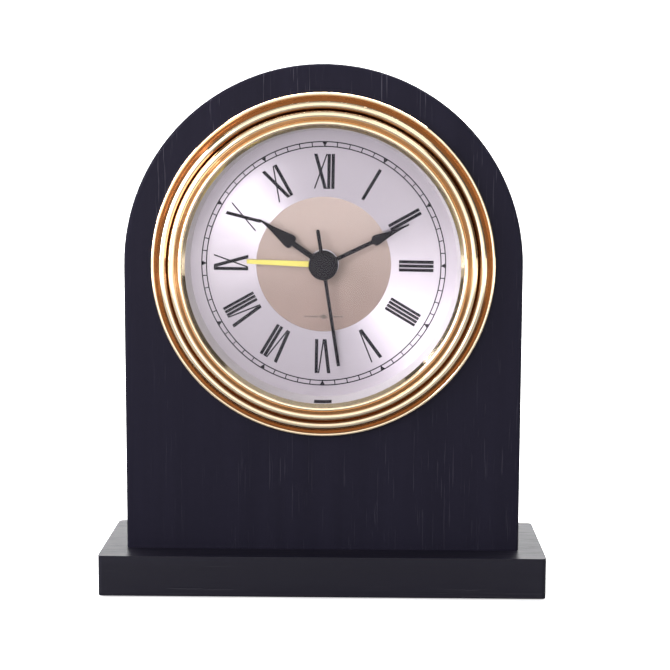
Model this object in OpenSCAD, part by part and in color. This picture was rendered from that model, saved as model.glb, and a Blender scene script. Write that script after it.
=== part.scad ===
// Arch-topped desk alarm clock.
// A drilled wooden case stands on a plinth and holds a gold-ringed quartz insert:
// dial, four hands, geared movement, coil, circuit board, buzzer and one AA cell.
// +X is the viewer's right, the dial faces -Y, +Z is up.
// The origin is the centre of the footprint, on the surface the clock stands on.

/* [Case] */
// Width of the arched body, and diameter of its round top
body_w = 104.5; // [94:0.5:150]
// Front-to-back depth of the body
body_d = 28; // [27:0.5:45]
// Height of the arch's centre above the top of the plinth
arch_h = 75.75; // [54:0.25:120]
// Rounding of the body's front and rear edges
edge_r = 0.8; // [0.3:0.1:3]
// Diameter of the hole through the body
bore_d = 80.4; // [80.2:0.1:84]

/* [Plinth] */
// Height of the plinth
plinth_h = 10.75; // [8:0.25:20]
// Plinth showing beyond each side of the body
side_ledge = 6.6; // [2:0.1:20]
// Plinth showing in front of the body
front_ledge = 8.5; // [7.5:0.5:20]
// Plinth showing behind the body
back_ledge = 3; // [2:0.5:20]
// Rounding of the plinth's upright corners
plinth_corner = 1.2; // [0.5:0.1:3]
// Diameter of each felt pad
pad_d = 10; // [6:0.5:14]
// Thickness of each felt pad
pad_t = 1.5; // [1.2:0.1:3]
// Depth of the pad's pocket in the plinth
pad_pocket = 1; // [0.5:0.1:1.1]

/* [Bezel and lens] */
// Outer diameter of the bezel ring
bezel_d = 90; // [89.4:0.1:93]
// Clear opening inside the bezel
opening_d = 71.6; // [60:0.1:72.2]
// Thickness of the lens
lens_t = 1.5; // [1:0.1:2]
// Thickness of the lens gasket
gasket_t = 0.4; // [0.2:0.1:0.6]

/* [Insert] */
// Outer diameter of the insert's cup
cup_d = 78; // [77.4:0.1:79.6]
// Wall of the cup
cup_wall = 1.4; // [1:0.1:1.5]
// Depth of the dial behind the body's front face
dial_setback = 6; // [4:0.5:9]
// Thickness of the dial plate
dial_t = 0.5; // [0.3:0.1:1]
// Thickness of the cup's floor behind the dial
floor_t = 1.2; // [1:0.1:2]
// Thickness of the rear cover
cover_t = 1.5; // [1.2:0.1:2.5]
// Space between the movement's back plate and the rear cover
rear_space = 3.2; // [3:0.1:6]

/* [Movement] */
// Thickness of each gear wheel
wheel_t = 0.6; // [0.4:0.05:0.7]
// Thickness of the movement's middle and back plates
plate_t = 1.2; // [0.8:0.1:2]
// Distance from the dial centre to the third arbor
third_distance = 7.2; // [7:0.1:7.8]
// Module of the seconds wheel
seconds_module = 0.25; // [0.245:0.005:0.27]
// Module of the intermediate wheel
intermediate_module = 0.2; // [0.18:0.01:0.21]
// Distance from the dial centre to the minute wheel's post
minute_distance = 6; // [5.6:0.1:6.4]
// Module of the alarm wheel
alarm_module = 0.3; // [0.28:0.01:0.33]
// Radial running clearance between a shaft and its hole
run_gap = 0.05; // [0.02:0.01:0.1]

/* [Hands] */
// Length of the hour hand
hour_l = 20.8; // [15:0.1:30]
// Length of the minute hand
minute_l = 24.9; // [20:0.1:33]
// Length of the second hand
second_l = 26.8; // [20:0.1:33]
// Length of the second hand's counter-tail
second_tail = 9.6; // [5:0.1:14]
// Length of the alarm hand
alarm_l = 20.3; // [12:0.1:30]
// Thickness of each hand
hand_t = 0.4; // [0.2:0.1:0.5]
// Diameter of the cap on the second hand
cap_d = 7.4; // [5:0.1:8]
// Clockwise angle of the hour hand from twelve
hour_angle = 305.3; // [0:0.1:360]
// Clockwise angle of the minute hand from twelve
minute_angle = 64.2; // [0:0.1:360]
// Clockwise angle of the second hand from twelve
second_angle = 171.2; // [0:0.1:360]
// Clockwise angle of the alarm hand from twelve
alarm_angle = 272.2; // [0:0.1:360]

/* [Battery] */
// Diameter of the cell
cell_d = 14.5; // [14:0.1:14.5]
// Length of the cell over its button
cell_l = 50.5; // [44:0.1:50.5]

/* [Controls] */
// Diameter of the two setting knobs
knob_d = 9.2; // [6:0.1:9.6]
// Height of the setting knobs
knob_h = 4.6; // [3:0.1:6]
// Radius of the two setting shafts
set_shaft_r = 0.9; // [0.7:0.05:1]
// Travel of the alarm on-off slider
switch_travel = 4; // [3:0.5:5]

/* [Hidden] */
$fn = 96;

// --- Case and plinth, worked out from the sizes above ---
arch_r = body_w / 2;
ground_gap = pad_t - pad_pocket;
plinth_top = ground_gap + plinth_h;
plinth_w = body_w + 2 * side_ledge;
plinth_d = front_ledge + body_d + back_ledge;
front_y = -plinth_d / 2 + front_ledge;
axis_z = plinth_top + arch_h;
body_mid_y = front_y + body_d / 2;
pad_inset = pad_d / 2 + 2.5;
pad_x = plinth_w / 2 - pad_inset;
pad_y = plinth_d / 2 - pad_inset;
plinth_screw_inset = 23;
plinth_screw_x = body_w / 2 - plinth_screw_inset;
plinth_screw_r = 1.8;
plinth_head_r = 3.5;
plinth_head_h = 2.2;
plinth_counterbore = 3;
plinth_screw_reach = 18;
dowel_inset = 10.5;
dowel_x = body_w / 2 - dowel_inset;
dowel_r = 3;
dowel_half = 7;

// --- Hands ---
hand_hub_r = 3.9;

// --- Depths behind the dial's front face; negative is in front of it ---
body_front = -dial_setback;
flange_t = 1.2;
flange_front = body_front - flange_t;
gasket_back = flange_front - 0.3;
lens_back = gasket_back - gasket_t;
lens_front = lens_back - lens_t;
floor_back = dial_t + floor_t;
layer_gap = 0.3;
alarm_layer = floor_back + layer_gap;
hour_layer = alarm_layer + wheel_t + layer_gap;
minute_layer = hour_layer + wheel_t + 0.5;
mid_plate_front = minute_layer + wheel_t + 0.6;
mid_plate_back = mid_plate_front + plate_t;
centre_layer = mid_plate_back + 0.6;
third_layer = centre_layer + wheel_t + 1;
seconds_layer = third_layer + wheel_t + 0.6;
intermediate_layer = seconds_layer + wheel_t + 0.7;
back_plate_front = intermediate_layer + wheel_t + 0.9;
back_plate_back = back_plate_front + plate_t;
cover_front = back_plate_back + rear_space;
cover_back = cover_front + cover_t;
pinion_extra = 0.1;

// --- Cup, bezel and rings ---
cup_r = cup_d / 2;
cup_inner_r = cup_r - cup_wall;
bezel_r = bezel_d / 2;
opening_r = opening_d / 2;
flange_r = bezel_r - 2.8;

// --- Bezel's beads, from the rim inwards: [radius, height above the body, bead radius] ---
outer_bead = [bezel_r - 0.5, 1.0, 0.5];
first_bead = [bezel_r - 3.3, 2.6, 1.0];
second_bead = [bezel_r - 5.8, 3.8, 1.0];
inner_bead = [bezel_r - 7.95, 4.9, 0.5];

// --- Grooves between the beads: [radius, height above the body] ---
outer_groove = [bezel_r - 1.45, 0.35];
middle_groove = [bezel_r - 4.5, 2.2];
inner_groove = [bezel_r - 7.05, 3.9];
bead_inside = 155;
bead_outside = -6;

// --- Fits inside the bezel ---
ring_gap = 0.1;
lens_r = cup_inner_r - ring_gap;
spacer_inner_front = opening_r + 0.5;
spacer_inner_back = opening_r - 0.5;
fit_ring_front = 3;
fit_ring_w = 7;

// --- Nested tubes at the dial centre ---
seconds_arbor_r = 0.5;
minute_pipe_r = 1.1;
hour_tube_r = 1.7;
alarm_tube_r = 2.3;
bush_r = 3.3;
small_arbor_r = 0.4;
hand_gap = 0.8;
alarm_hand_front = -0.9 - hand_t;
hour_hand_front = alarm_hand_front - hand_gap - hand_t;
minute_hand_front = hour_hand_front - hand_gap - hand_t;
second_hand_front = minute_hand_front - hand_gap - hand_t;
cap_front = second_hand_front - 0.7;
bush_front = -0.6;

// --- Gear teeth, shared by every wheel ---
tooth_addendum = 0.8;
tooth_dedendum = 1.2;
tooth_backlash = 0.15;
tooth_tip_share = 0.5;
tooth_root_share = 1.1;

// --- Tooth counts ---
rotor_teeth = 8;
intermediate_teeth = 48;
intermediate_pinion_teeth = 10;
seconds_teeth = 50;
seconds_pinion_teeth = 8;
third_teeth = 60;
third_pinion_teeth = 8;
centre_teeth = 64;
cannon_teeth = 12;
minute_teeth = 36;
minute_pinion_teeth = 10;
hour_teeth = 40;
time_set_teeth = 12;
alarm_teeth = 48;
alarm_set_teeth = 12;

// --- Modules that follow from the centre distances ---
third_module = 2 * third_distance / (seconds_pinion_teeth + third_teeth);
centre_module = 2 * third_distance / (third_pinion_teeth + centre_teeth);
minute_module = 2 * minute_distance / (cannon_teeth + minute_teeth);
hour_module = 2 * minute_distance / (minute_pinion_teeth + hour_teeth);
intermediate_distance = seconds_module * (intermediate_pinion_teeth + seconds_teeth) / 2;
rotor_distance = intermediate_module * (rotor_teeth + intermediate_teeth) / 2;
time_set_distance = minute_module * (time_set_teeth + minute_teeth) / 2;
alarm_set_distance = alarm_module * (alarm_set_teeth + alarm_teeth) / 2;

// --- Directions of the arbors, counter-clockwise from +X, and their places ---
third_dir = 75;
intermediate_dir = -5;
rotor_dir = -5;
minute_dir = 200;
time_set_dir = 215;
alarm_set_dir = 150;
centre_at = [0, 0];
third_at = polar(third_distance, third_dir);
intermediate_at = polar(intermediate_distance, intermediate_dir);
rotor_at = intermediate_at + polar(rotor_distance, rotor_dir);
minute_at = polar(minute_distance, minute_dir);
time_set_at = minute_at + polar(time_set_distance, time_set_dir);
alarm_set_at = polar(alarm_set_distance, alarm_set_dir);

// --- Tooth phases that put every pair in mesh at rest ---
seconds_phase = 0;
centre_phase = 0;
intermediate_pinion_phase =
    mesh_phase(seconds_phase, seconds_teeth, intermediate_pinion_teeth, intermediate_dir);
intermediate_phase = 0;
rotor_phase = mesh_phase(intermediate_phase, intermediate_teeth, rotor_teeth, rotor_dir);
third_phase = mesh_phase(seconds_phase, seconds_pinion_teeth, third_teeth, third_dir);
third_pinion_phase = mesh_phase(centre_phase, centre_teeth, third_pinion_teeth, third_dir);
minute_phase = mesh_phase(centre_phase, cannon_teeth, minute_teeth, minute_dir);
hour_phase = 0;
minute_pinion_phase = mesh_phase(hour_phase, hour_teeth, minute_pinion_teeth, minute_dir);
time_set_phase = mesh_phase(minute_phase, minute_teeth, time_set_teeth, time_set_dir);
alarm_phase = 0;
alarm_set_phase = mesh_phase(alarm_phase, alarm_teeth, alarm_set_teeth, alarm_set_dir);

// --- Movement plates and their pillars ---
plate_left = -19;
plate_right = 16;
plate_bottom = -10;
plate_top = 15.2;
pillars_at = [[-14.5, 12], [13, 13.2], [8.5, -8], [-16, -8]];
pillar_r = 1.8;
screw_r = 0.8;
screw_hole_r = screw_r + run_gap;
screw_head_r = 1.5;
screw_head_h = 0.9;
clutch_flange_r = 2.2;
clutch_flange_t = 0.4;

// --- Stator and coil ---
magnet_r = 2.2;
magnet_t = 1.4;
stator_t = 0.8;
stator_front = third_layer + 0.6;
stator_ring_r = 3.7;
stator_hole_r = magnet_r + 0.5;
stator_arm_w = 3;
coil_x = rotor_at.x + 8;
coil_post_top = 9.5;
coil_post_bottom = -7.5;
coil_post_r = 1.6;
coil_tab_r = 2;
core_w = 2.4;
core_t = 0.8;
core_front = stator_front - core_t;
core_mid = core_front + core_t / 2;
bobbin_low = -5;
bobbin_high = 7;
bobbin_flange_r = 3.5;
bobbin_flange_t = 0.8;
bobbin_tube_r = 1.8;
winding_r = 3.1;
core_gap = 0.05;

// --- Circuit board ---
board_left = plate_right + 0.8;
board_right = 31;
board_bottom = -9;
board_top = 14;
board_t = 1;
board_front = back_plate_front + 0.2;
board_back = board_front + board_t;
board_posts_at = [[28.6, -6.5], [28.6, 11.4]];
board_post_r = 1.8;
chip_at = [21, -3.5];
crystal_at = [27.6, 2];
crystal_r = 1;
crystal_l = 6;

// --- Buzzer and its leads ---
buzzer_at = [0, 25];
buzzer_r = 8.5;
buzzer_t = 4.5;
sound_hole_r = 0.8;
sound_ring_r = 3;
lead_r = 0.35;
elbow_r = 0.42;
lead_run = back_plate_front - 1;
lead_starts = [[6, 21], [7.2, 22.6]];
lead_ends = [[19, 13], [21, 13]];

// --- Battery tray ---
cell_r = cell_d / 2;
cell_y = -18.6;
cell_mid = (floor_back + cover_front) / 2;
button_r = 2.75;
button_l = 1.3;
rail_t = 0.8;
rail_gap = 0.2;
contact_t = 0.4;
contact_gap = 0.3;
contact_low = -24;
contact_high = -13.5;
end_wall_t = 1.2;
tray_back = cover_front - 2;
contact_x = cell_l / 2 + contact_gap;
window_x = 25.7;
window_half = 7.5;
window_low = cell_y - window_half;
window_high = cell_y + window_half;
rebate = 0.8;
door_gap = 0.15;
door_rib_h = 0.6;

// --- Rear cover ---
cover_posts_at = [polar(34.4, 55), polar(34.4, 125), polar(34.4, 270)];
cover_post_r = 2.6;
cover_screw_r = 1.1;
cover_head_r = 2.1;
cover_head_h = 1;

// --- Alarm switch ---
switch_x = 24;
switch_y = 4.2;
switch_knob_w = 2.6;
switch_knob_l = 3.6;
switch_knob_h = 1.1;
switch_foot_w = 5.2;
switch_foot_l = 6;
switch_foot_t = 1.1;
switch_gap = 0.1;
slot_low = switch_y - switch_knob_l / 2 - 0.2;
slot_high = switch_y + switch_travel + switch_knob_l / 2 + 0.2;

// --- Setting shafts and knobs ---
knob_front = cover_back + 0.3;
knob_grips = 24;
shaft_into_knob = 3;
set_boss_r = 1.8;

// ================= helpers =================

// A point at a distance r and a direction a from the dial centre
function polar(r, a) = [r * cos(a), r * sin(a)];

// Rotation of the second wheel of a pair whose centres lie along direction dir
function mesh_phase(first_phase, first_teeth, second_teeth, dir) =
    dir + 180 + 180 / second_teeth - (first_phase - dir) * first_teeth / second_teeth;

// One tooth as [radius, angle] steps round its outline
function tooth_outline(teeth, m) =
    let (pitch_r = m * teeth / 2, half = 90 / teeth * (1 - tooth_backlash))
    [
        [pitch_r - tooth_dedendum * m, -half * tooth_root_share],
        [pitch_r, -half],
        [pitch_r + tooth_addendum * m, -half * tooth_tip_share],
        [pitch_r + tooth_addendum * m, half * tooth_tip_share],
        [pitch_r, half],
        [pitch_r - tooth_dedendum * m, half * tooth_root_share]
    ];

// Puts its children on the dial's front face: local X right, Y up, Z towards the viewer
module on_dial() {
    translate([0, front_y + dial_setback, axis_z])
        rotate([90, 0, 0])
            children();
}

// Extrudes a 2D shape between two depths behind the dial
module slab(front, back) {
    translate([0, 0, -back])
        linear_extrude(height = back - front)
            children();
}

// A round bar between two depths behind the dial
module bar(front, back, r, at = [0, 0]) {
    translate([at.x, at.y, -back])
        cylinder(h = back - front, r = r);
}

// A round hole between two depths, cut slightly past both
module hole(front, back, r, at = [0, 0]) {
    bar(front - 0.1, back + 0.1, r, at);
}

// A toothed wheel between two depths
module toothed(front, back, teeth, m, phase, at = [0, 0]) {
    translate([at.x, at.y, 0])
        slab(front, back)
            polygon([
                for (i = [0 : teeth - 1])
                for (step = tooth_outline(teeth, m))
                polar(step[0], phase + 360 * i / teeth + step[1])
            ]);
}

// A rectangle given by its low and high corners
module box_2d(low, high) {
    translate(low)
        square(high - low);
}

// A rectangle with round corners, drawn with exact arcs
module round_box_2d(low, high, r) {
    box_2d([low.x + r, low.y], [high.x - r, high.y]);
    box_2d([low.x, low.y + r], [high.x, high.y - r]);
    for (x = [low.x + r, high.x - r], y = [low.y + r, high.y - r])
        translate([x, y])
            circle(r = r);
}

// A straight round wire from a to b, [x, y, depth] each
module wire(a, b, r) {
    start = [a.x, a.y, -a.z];
    run = [b.x, b.y, -b.z] - start;
    tilt = acos(run.z / norm(run));
    turn = atan2(run.y, run.x);
    translate(start)
        rotate([0, tilt, turn])
            cylinder(h = norm(run), r = r);
}

// Turns its children from pointing up to a clockwise angle from twelve
module at_angle(clockwise) {
    rotate(90 - clockwise)
        children();
}

// ================= case =================

module case_body() {
    color([0.13, 0.12, 0.16])
    difference() {
        union() {
            translate([0, body_mid_y, axis_z])
                rotate([90, 0, 0])
                    rotate_extrude(angle = 180)
                        arch_section();
            translate([0, body_mid_y, plinth_top])
                linear_extrude(height = arch_h)
                    round_box_2d([-arch_r, -body_d / 2], [arch_r, body_d / 2], edge_r);
        }
        on_dial()
            hole(body_front, body_front + body_d, bore_d / 2);
        for (x = [-dowel_x, dowel_x])
            translate([x, body_mid_y, plinth_top - 0.1])
                cylinder(h = dowel_half + 0.2, r = dowel_r);
        for (x = [-plinth_screw_x, plinth_screw_x])
            translate([x, body_mid_y, plinth_top - 0.1])
                cylinder(h = plinth_screw_reach + 0.3, r = plinth_screw_r + run_gap);
    }
}

// Half of the body's cross-section, from the arch's centre outwards
module arch_section() {
    box_2d([0, -body_d / 2], [arch_r - edge_r, body_d / 2]);
    box_2d([0, -body_d / 2 + edge_r], [arch_r, body_d / 2 - edge_r]);
    for (y = [-1, 1])
        translate([arch_r - edge_r, y * (body_d / 2 - edge_r)])
            circle(r = edge_r);
}

module base_plinth() {
    color([0.16, 0.15, 0.19])
    difference() {
        translate([0, 0, ground_gap])
            linear_extrude(height = plinth_h)
                round_box_2d([-plinth_w / 2, -plinth_d / 2], [plinth_w / 2, plinth_d / 2],
                             plinth_corner);
        for (x = [-pad_x, pad_x], y = [-pad_y, pad_y])
            translate([x, y, ground_gap - 0.1])
                cylinder(h = pad_pocket + 0.1, r = pad_d / 2);
        for (x = [-dowel_x, dowel_x])
            translate([x, body_mid_y, plinth_top - dowel_half])
                cylinder(h = dowel_half + 0.1, r = dowel_r);
        for (x = [-plinth_screw_x, plinth_screw_x])
            translate([x, body_mid_y, 0]) {
                cylinder(h = plinth_top + 0.1, r = plinth_screw_r + run_gap);
                cylinder(h = ground_gap + plinth_counterbore, r = plinth_head_r + 0.3);
            }
    }
}

module plinth_dowels() {
    color([0.75, 0.6, 0.4])
    for (x = [-dowel_x, dowel_x])
        translate([x, body_mid_y, plinth_top - dowel_half])
            cylinder(h = 2 * dowel_half, r = dowel_r);
}

module plinth_screws() {
    head_top = ground_gap + plinth_counterbore;
    color([0.75, 0.7, 0.5])
    for (x = [-plinth_screw_x, plinth_screw_x])
        translate([x, body_mid_y, 0])
            difference() {
                union() {
                    translate([0, 0, head_top - plinth_head_h])
                        cylinder(h = plinth_head_h, r = plinth_head_r);
                    translate([0, 0, head_top - 0.1])
                        cylinder(h = plinth_top + plinth_screw_reach - head_top + 0.1,
                                 r = plinth_screw_r);
                }
                for (turn = [0, 90])
                    rotate(turn)
                        translate([-2, -0.4, head_top - plinth_head_h - 0.1])
                            cube([4, 0.8, 1.1]);
            }
}

module felt_pads() {
    color([0.2, 0.2, 0.2])
    for (x = [-pad_x, pad_x], y = [-pad_y, pad_y])
        translate([x, y, 0])
            cylinder(h = pad_t, r = pad_d / 2);
}

// ================= bezel, lens and dial =================

module bezel() {
    color([0.85, 0.68, 0.35])
    on_dial()
        translate([0, 0, dial_setback])
            rotate_extrude()
                difference() {
                    bezel_outline();
                    box_2d([0, -1], [flange_r + ring_gap, flange_t]);
                    box_2d([0, -1], [lens_r + ring_gap, -lens_front - dial_setback]);
                }
}

// Points round part of a bead, from angle a to angle b
function bead_arc(bead, a, b) =
    let (steps = ceil(abs(b - a) / 12))
    [for (i = [0 : steps]) [bead.x, bead.y] + polar(bead.z, a + (b - a) * i / steps)];

// Radial section of the bezel; the second axis is the height above the body
module bezel_outline() {
    lip_height = -lens_front - dial_setback;
    polygon(concat(
        [[opening_r, 0], [opening_r, lip_height + 0.5]],
        bead_arc(inner_bead, 180, bead_outside),
        [inner_groove],
        bead_arc(second_bead, bead_inside, bead_outside),
        [middle_groove],
        bead_arc(first_bead, bead_inside, bead_outside),
        [outer_groove],
        bead_arc(outer_bead, bead_inside, 0),
        [[bezel_r, 0]]
    ));
}

module lens() {
    color([0.85, 0.92, 0.95, 0.3])
    on_dial()
        bar(lens_front, lens_back, lens_r);
}

module lens_gasket() {
    color([0.1, 0.1, 0.1])
    on_dial()
        difference() {
            bar(lens_back, gasket_back, lens_r);
            hole(lens_back, gasket_back, spacer_inner_front);
        }
}

module spacer_ring() {
    color([0.85, 0.84, 0.82])
    on_dial()
        rotate_extrude()
            polygon([
                [spacer_inner_back, 0],
                [lens_r, 0],
                [lens_r, -gasket_back],
                [spacer_inner_front, -gasket_back]
            ]);
}

module dial() {
    color([0.84, 0.8, 0.86])
    on_dial()
        difference() {
            bar(0, dial_t, lens_r);
            hole(0, dial_t, bush_r + ring_gap);
        }
}

// ================= insert cup and covers =================

module insert_cup() {
    color([0.9, 0.9, 0.88])
    on_dial()
        difference() {
            union() {
                cup_shell();
                cup_posts();
                battery_tray();
                bar(bush_front, dial_t + 0.1, bush_r);
            }
            hole(bush_front, floor_back, alarm_tube_r + run_gap);
            for (at = pillars_at)
                bar(floor_back + 0.8, mid_plate_front + 0.1, screw_hole_r, at);
            for (at = cover_posts_at)
                bar(cover_front - 8, cover_front + 0.1, cover_screw_r + run_gap, at);
            for (at = board_posts_at)
                bar(board_front - 5, board_front + 0.1, screw_hole_r, at);
            for (y = [coil_post_bottom, coil_post_top])
                bar(core_front - 4, core_front + 0.1, screw_hole_r, [coil_x, y]);
            bar(floor_back - 0.8, floor_back + 0.1, set_shaft_r + run_gap, alarm_set_at);
            bar(floor_back - 0.1, minute_layer, set_shaft_r + run_gap, time_set_at);
        }
}

// Cup wall, the flange under the bezel, and the floor behind the dial
module cup_shell() {
    difference() {
        union() {
            bar(flange_front, cover_front, cup_r);
            bar(flange_front, body_front, flange_r);
        }
        hole(flange_front, dial_t - 0.1, cup_inner_r);
        hole(floor_back + 0.1, cover_front, cup_inner_r);
    }
}

module cup_posts() {
    for (at = pillars_at)
        bar(floor_back - 0.1, mid_plate_front, pillar_r, at);
    for (at = cover_posts_at)
        bar(floor_back - 0.1, cover_front, cover_post_r, at);
    for (at = board_posts_at)
        bar(floor_back - 0.1, board_front, board_post_r, at);
    for (y = [coil_post_bottom, coil_post_top])
        bar(floor_back - 0.1, core_front, coil_post_r, [coil_x, y]);
    bar(floor_back - 0.1, minute_layer - 0.4, set_boss_r, time_set_at);
}

// Rails above and below the cell, and the walls behind its contacts
module battery_tray() {
    tray_x = contact_x + contact_t;
    rail_high = cell_y + cell_r + rail_gap;
    rail_low = cell_y - cell_r - rail_gap;
    slab(floor_back - 0.1, cell_mid + 2) {
        box_2d([-tray_x, rail_high], [tray_x, rail_high + rail_t]);
        box_2d([-20, rail_low - rail_t], [20, rail_low]);
    }
    slab(floor_back - 0.1, tray_back)
        for (side = [-1, 1])
            translate([side * (tray_x + end_wall_t / 2), (contact_low + contact_high) / 2 + 0.8])
                square([end_wall_t, contact_high - contact_low - 1.6], center = true);
}

module fit_ring() {
    color([0.08, 0.08, 0.08])
    on_dial()
        difference() {
            bar(body_front + fit_ring_front, body_front + fit_ring_front + fit_ring_w,
                bore_d / 2 - run_gap);
            hole(body_front + fit_ring_front, body_front + fit_ring_front + fit_ring_w,
                 cup_r + run_gap);
        }
}

module rear_cover() {
    color([0.88, 0.88, 0.86])
    on_dial()
        difference() {
            bar(cover_front, cover_back, cup_r);
            slab(cover_front - 0.1, cover_back + 0.1)
                box_2d([-window_x, window_low], [window_x, window_high]);
            slab(cover_front + cover_t / 2, cover_back + 0.1)
                box_2d([-window_x - rebate, window_low - rebate],
                       [window_x + rebate, window_high + rebate]);
            slab(cover_front - 0.1, cover_back + 0.1)
                box_2d([switch_x - switch_knob_w / 2 - switch_gap, slot_low],
                       [switch_x + switch_knob_w / 2 + switch_gap, slot_high]);
            for (at = [time_set_at, alarm_set_at])
                hole(cover_front, cover_back, set_shaft_r + run_gap, at);
            for (at = cover_posts_at) {
                hole(cover_front, cover_back, cover_screw_r + run_gap, at);
                bar(cover_back - cover_head_h, cover_back + 0.1, cover_head_r + 0.2, at);
            }
            hole(cover_front, cover_back, sound_hole_r, buzzer_at);
            for (i = [0 : 7])
                hole(cover_front, cover_back, sound_hole_r,
                     buzzer_at + polar(sound_ring_r, i * 45));
        }
}

module rear_cover_screws() {
    color([0.75, 0.75, 0.75])
    on_dial()
        for (at = cover_posts_at)
            difference() {
                union() {
                    bar(cover_front - 6, cover_back - 0.2, cover_screw_r, at);
                    bar(cover_back - cover_head_h, cover_back - 0.1, cover_head_r, at);
                }
                cross_slot(cover_back - 0.1, 2.4, at);
            }
}

// Cross recess in a screw head whose outer face is at the given depth
module cross_slot(face, size, at) {
    translate([at.x, at.y, 0])
        slab(face - 0.5, face + 0.1) {
            square([size, size * 0.22], center = true);
            square([size * 0.22, size], center = true);
        }
}

// ================= movement frame =================

module plate_outline() {
    round_box_2d([plate_left, plate_bottom], [plate_right, plate_top], 2);
}

module mid_plate() {
    color([0.92, 0.92, 0.88])
    on_dial() {
        difference() {
            slab(mid_plate_front, mid_plate_back)
                plate_outline();
            hole(mid_plate_front, mid_plate_back, minute_pipe_r + run_gap);
            for (at = [third_at, intermediate_at, rotor_at])
                hole(mid_plate_front, mid_plate_back, small_arbor_r + run_gap, at);
            for (at = [time_set_at, alarm_set_at])
                hole(mid_plate_front, mid_plate_back, set_shaft_r + run_gap, at);
            for (at = pillars_at)
                hole(mid_plate_front, mid_plate_back, screw_hole_r, at);
        }
        // post that carries the minute wheel
        bar(alarm_layer + wheel_t + 0.1, mid_plate_front + 0.1, small_arbor_r, minute_at);
        // post that carries the alarm contact
        bar(contact_post_front, mid_plate_front + 0.1, 1, contact_post_at);
    }
}

module back_plate() {
    color([0.92, 0.92, 0.88])
    on_dial()
        difference() {
            slab(back_plate_front, back_plate_back)
                plate_outline();
            hole(back_plate_front, back_plate_back, seconds_arbor_r + run_gap);
            for (at = [third_at, intermediate_at, rotor_at])
                hole(back_plate_front, back_plate_back, small_arbor_r + run_gap, at);
            for (at = [time_set_at, alarm_set_at])
                hole(back_plate_front, back_plate_back, set_shaft_r + run_gap, at);
            for (at = pillars_at)
                hole(back_plate_front, back_plate_back, screw_hole_r, at);
        }
}

module plate_pillars() {
    color([0.8, 0.65, 0.35])
    on_dial()
        for (at = pillars_at)
            difference() {
                bar(mid_plate_back, back_plate_front, pillar_r, at);
                hole(mid_plate_back, back_plate_front, screw_hole_r, at);
            }
}

module plate_screws() {
    color([0.7, 0.7, 0.7])
    on_dial()
        for (at = pillars_at)
            difference() {
                union() {
                    bar(floor_back + 1, back_plate_back + 0.1, screw_r, at);
                    bar(back_plate_back, back_plate_back + screw_head_h, screw_head_r, at);
                }
                cross_slot(back_plate_back + screw_head_h + 0.4, 2, at);
            }
}

// ================= coil and electronics =================

module stator() {
    low = [rotor_at.x - stator_arm_w / 2, coil_post_bottom - stator_arm_w / 2];
    high = [rotor_at.x + stator_arm_w / 2, coil_post_top + stator_arm_w / 2];
    color([0.55, 0.57, 0.6])
    on_dial()
        difference() {
            slab(stator_front, stator_front + stator_t) {
                translate(rotor_at)
                    circle(r = stator_ring_r);
                box_2d(low, high);
                box_2d([low.x, low.y], [coil_x, low.y + stator_arm_w]);
                box_2d([low.x, high.y - stator_arm_w], [coil_x, high.y]);
                for (y = [coil_post_bottom, coil_post_top])
                    translate([coil_x, y])
                        circle(r = coil_tab_r);
            }
            hole(stator_front, stator_front + stator_t, stator_hole_r, rotor_at);
            for (y = [coil_post_bottom, coil_post_top])
                hole(stator_front, stator_front + stator_t, screw_hole_r, [coil_x, y]);
        }
}

module coil_core() {
    color([0.6, 0.6, 0.62])
    on_dial()
        difference() {
            slab(core_front, core_front + core_t) {
                box_2d([coil_x - core_w / 2, coil_post_bottom],
                       [coil_x + core_w / 2, coil_post_top]);
                for (y = [coil_post_bottom, coil_post_top])
                    translate([coil_x, y])
                        circle(r = coil_tab_r);
            }
            for (y = [coil_post_bottom, coil_post_top])
                hole(core_front, core_front + core_t, screw_hole_r, [coil_x, y]);
        }
}

// A disc or tube round the coil's core, between two heights
module on_core(low, high, r) {
    translate([coil_x, low, -core_mid])
        rotate([-90, 0, 0])
            cylinder(h = high - low, r = r);
}

module coil_bobbin() {
    color([0.15, 0.15, 0.15])
    on_dial()
        difference() {
            union() {
                on_core(bobbin_low, bobbin_high, bobbin_tube_r);
                on_core(bobbin_low, bobbin_low + bobbin_flange_t, bobbin_flange_r);
                on_core(bobbin_high - bobbin_flange_t, bobbin_high, bobbin_flange_r);
            }
            slab(core_front - core_gap, core_front + core_t + core_gap)
                box_2d([coil_x - core_w / 2 - core_gap, bobbin_low - 1],
                       [coil_x + core_w / 2 + core_gap, bobbin_high + 1]);
        }
}

module coil_winding() {
    color([0.72, 0.35, 0.15])
    on_dial()
        difference() {
            on_core(bobbin_low + bobbin_flange_t, bobbin_high - bobbin_flange_t, winding_r);
            on_core(bobbin_low, bobbin_high, bobbin_tube_r);
        }
}

module stator_screws() {
    head_front = stator_front + stator_t;
    color([0.7, 0.7, 0.7])
    on_dial()
        for (y = [coil_post_bottom, coil_post_top])
            difference() {
                union() {
                    bar(core_front - 3, head_front + 0.1, screw_r, [coil_x, y]);
                    bar(head_front, head_front + screw_head_h, screw_head_r, [coil_x, y]);
                }
                cross_slot(head_front + screw_head_h + 0.4, 2, [coil_x, y]);
            }
}

module circuit_board() {
    color([0.1, 0.4, 0.2])
    on_dial()
        difference() {
            slab(board_front, board_back)
                box_2d([board_left, board_bottom], [board_right, board_top]);
            for (at = board_posts_at)
                hole(board_front, board_back, screw_hole_r, at);
        }
}

module board_screws() {
    color([0.7, 0.7, 0.7])
    on_dial()
        for (at = board_posts_at)
            difference() {
                union() {
                    bar(board_front - 4, board_back + 0.1, screw_r, at);
                    bar(board_back, board_back + screw_head_h, screw_head_r, at);
                }
                cross_slot(board_back + screw_head_h + 0.4, 2, at);
            }
}

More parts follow.
